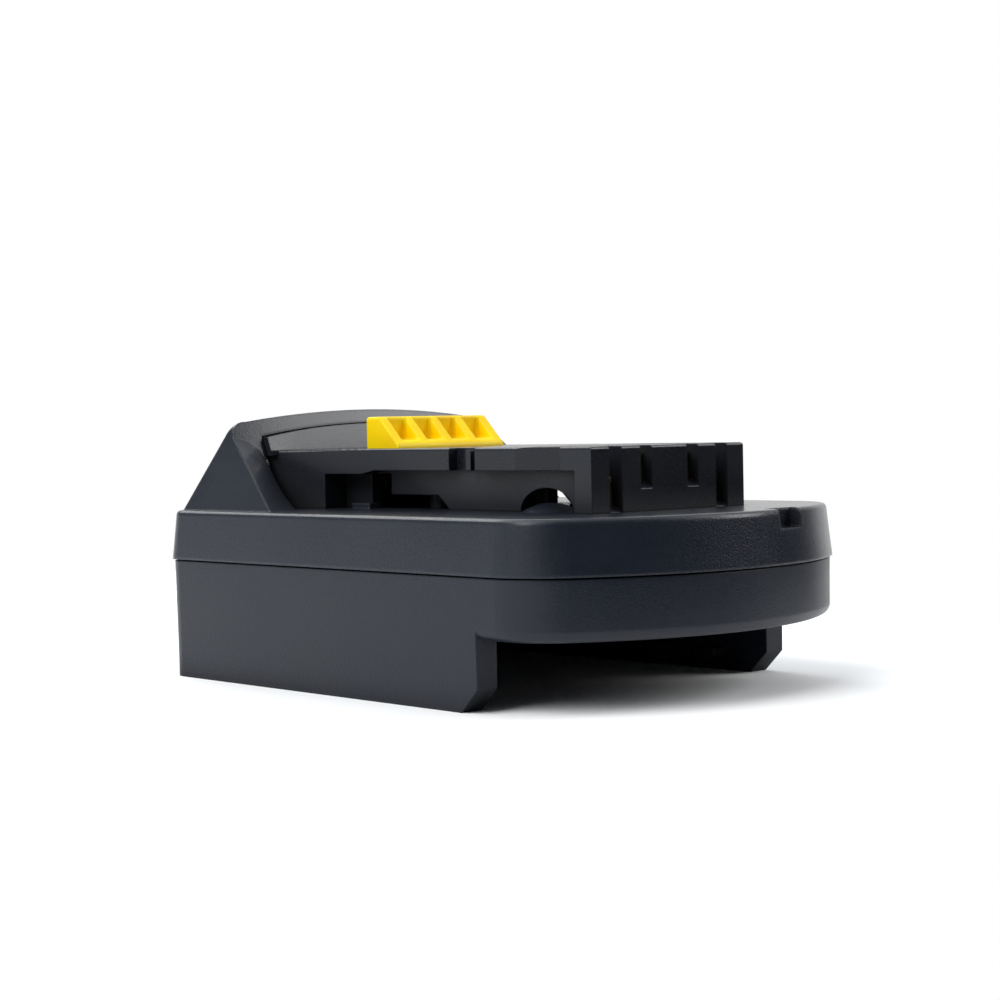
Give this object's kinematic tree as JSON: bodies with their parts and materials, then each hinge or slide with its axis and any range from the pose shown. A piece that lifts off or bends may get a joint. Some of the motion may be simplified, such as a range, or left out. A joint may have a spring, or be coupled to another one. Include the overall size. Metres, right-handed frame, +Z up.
{
  "type": "tool battery adapter",
  "caption": "Adapter that slides over a tool battery pack and carries a slide rail with terminal slots and a sprung yellow release latch for another tool.",
  "frame": {"origin": "middle of the bounding box's bottom face, on the plane that the two skirts stand on", "axes": "+X to the rounded nose, along the rail; +Y to the left seen from behind; +Z up, from skirts to rail"},
  "size_m": [0.1236, 0.082, 0.0536],
  "materials": {
    "body_plastic": "fine moulded texture, blue-black",
    "latch_yellow": "smooth satin yellow",
    "spring_steel": "drawn wire",
    "insulator_black": "plain moulded",
    "contact_brass": "stamped",
    "board_green": "solder mask",
    "lead_red": "wire insulation",
    "lead_black": "wire insulation",
    "lead_white": "wire insulation",
    "capacitor_can": "sleeved can",
    "sink_aluminium": "extruded",
    "fuse_orange": "clear moulded",
    "screw_steel": "zinc plated"
  },
  "bodies": {
    "housing": {"lower_shell": "body_plastic", "upper_cover": "body_plastic", "slide_rail": "body_plastic", "latch_spring_left": "spring_steel", "latch_spring_right": "spring_steel", "contact_carrier": "insulator_black", "tool_contact_positive": "contact_brass", "tool_contact_negative": "contact_brass", "tool_contact_signal_left": "contact_brass", "tool_contact_signal_right": "contact_brass", "circuit_board": "board_green", "blade_holder": "insulator_black", "pack_blade_positive": "contact_brass", "pack_blade_negative": "contact_brass", "pack_blade_signal_left": "contact_brass", "pack_blade_signal_right": "contact_brass", "positive_lead": "lead_red", "negative_lead": "lead_black", "signal_lead_left": "lead_white", "signal_lead_right": "lead_white", "capacitor": "capacitor_can", "power_transistor": "insulator_black", "heat_sink": "sink_aluminium", "control_chip": "insulator_black", "fuse": "fuse_orange", "case_screws": "screw_steel", "rail_screws": "screw_steel", "board_screws": "screw_steel", "holder_screws": "screw_steel"},
    "latch": {"release_latch": "latch_yellow"}
  },
  "joints": [
    {"name": "latch_press", "type": "slide", "parent": "housing", "child": "latch", "axis": [0, 0, -1], "range_m": [0, 0.0064], "stiffness_N_per_m": 1500, "springref_m": -0.003, "deforming": ["latch_spring_left", "latch_spring_right"]}
  ]
}
